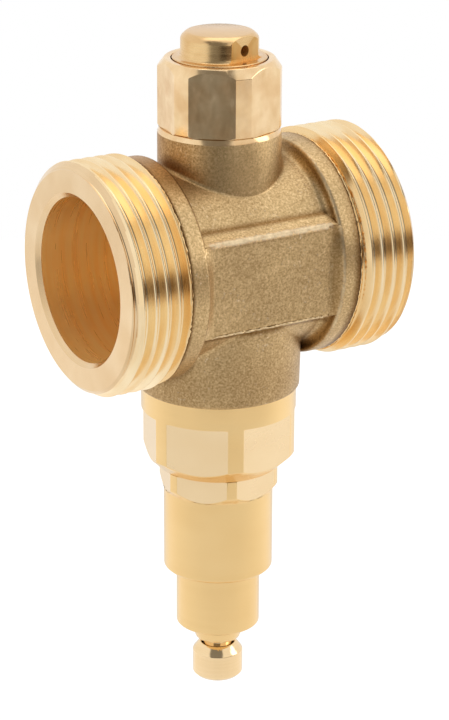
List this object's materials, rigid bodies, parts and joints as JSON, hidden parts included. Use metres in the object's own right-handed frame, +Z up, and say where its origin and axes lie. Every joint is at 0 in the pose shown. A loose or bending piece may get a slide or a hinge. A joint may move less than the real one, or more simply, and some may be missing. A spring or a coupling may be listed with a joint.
{
  "type": "anti-freeze valve",
  "caption": "Brass anti-freeze drain valve: threaded in-line body with a hexagon vacuum breaker on top and a stepped wax-element drain cartridge below.",
  "frame": {"origin": "where the axis of the flow bore crosses the axis of the drain cartridge", "axes": "+X along the flow bore, +Z up along the cartridge axis towards the vented cap"},
  "size_m": [0.058, 0.042, 0.1236],
  "materials": {
    "cast_brass": "blasted casting with machined threads and bores",
    "turned_brass": "bright turned",
    "steel": "spring wire and pressed sheet",
    "rubber": "moulded black",
    "wax": "dull wax"
  },
  "bodies": {
    "valve": {"valve_body": "cast_brass", "vent_bonnet": "turned_brass", "vent_plug": "turned_brass", "vent_retainer": "turned_brass", "cartridge_housing": "turned_brass", "drain_nozzle": "turned_brass", "seat_bridge": "turned_brass", "stem_guide": "turned_brass", "vent_spring": "steel", "vent_circlip": "steel", "spring_retainer": "steel", "return_spring": "steel", "wax_piston": "steel", "seat_circlip": "steel", "bonnet_oring": "rubber", "plug_oring": "rubber", "housing_oring": "rubber", "nozzle_gasket": "rubber", "seat_oring": "rubber"},
    "drain": {"wax_cup": "turned_brass", "wax_fill": "wax", "wax_boot": "rubber", "wax_guide": "turned_brass", "lift_yoke": "steel", "yoke_nut": "turned_brass", "drain_stem": "turned_brass", "obturator_seal": "rubber", "seal_washer": "turned_brass", "drain_knob": "turned_brass"},
    "vent": {"vent_piston": "turned_brass", "vent_seal": "rubber"}
  },
  "joints": [
    {"name": "drain_slide", "type": "slide", "parent": "valve", "child": "drain", "axis": [0, 0, -1], "range_m": [0, 0.004], "deforming": ["return_spring"]},
    {"name": "vent_slide", "type": "slide", "parent": "valve", "child": "vent", "axis": [0, 0, -1], "range_m": [0, 0.002], "stiffness_N_per_m": 120, "springref_m": -0.002, "deforming": ["vent_spring"]}
  ]
}
